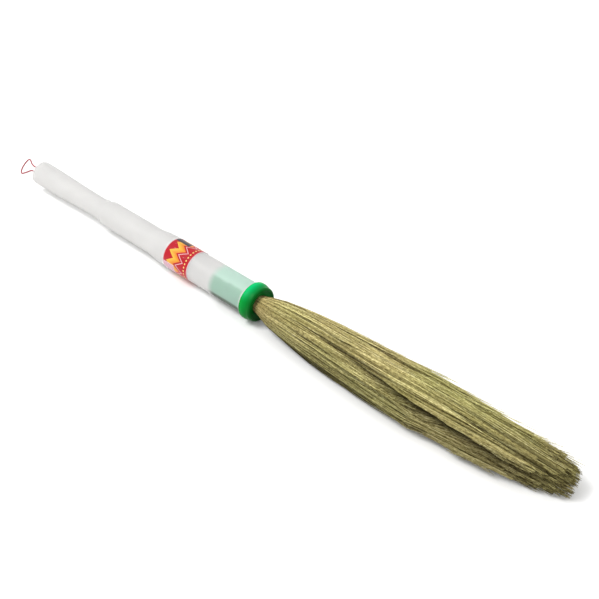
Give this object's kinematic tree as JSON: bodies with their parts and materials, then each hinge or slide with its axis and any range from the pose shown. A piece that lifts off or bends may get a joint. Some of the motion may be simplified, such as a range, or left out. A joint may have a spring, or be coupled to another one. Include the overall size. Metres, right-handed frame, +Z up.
{
  "type": "hand broom",
  "caption": "Straw broom with a hollow milky plastic handle, a green ferrule and a red cord loop to hang it by.",
  "frame": {"origin": "centre of the lying broom's box on the floor plane", "axes": "+X along the broom towards the tip of the straw, +Y across it, +Z up from the floor it lies on"},
  "size_m": [0.9242, 0.0734, 0.0493],
  "materials": {
    "handle_plastic": "milky, translucent",
    "ferrule_plastic": "glossy",
    "label_film": "printed gloss film",
    "cord": "thin braided cord",
    "wire": "galvanised",
    "peg_wood": "raw",
    "straw": "dry straw"
  },
  "bodies": {
    "broom": {"handle_tube": "handle_plastic", "grip_end": "handle_plastic", "end_plug": "handle_plastic", "label_band": "label_film", "ferrule": "ferrule_plastic", "cord_knot": "cord", "binding_wire": "wire", "butt_peg": "peg_wood", "straw_hank_core": "straw", "straw_hank_1": "straw", "straw_hank_2": "straw", "straw_hank_3": "straw", "straw_hank_4": "straw", "straw_hank_5": "straw", "straw_hank_6": "straw"},
    "hanging_loop": {"hang_loop": "cord"}
  },
  "joints": [
    {"name": "hang_loop_swing", "type": "hinge", "parent": "broom", "child": "hanging_loop", "pos_m": [-0.4373, 0, 0.024], "axis": [0, 0.7771, 0.6293], "range_deg": [-62, 88]}
  ]
}
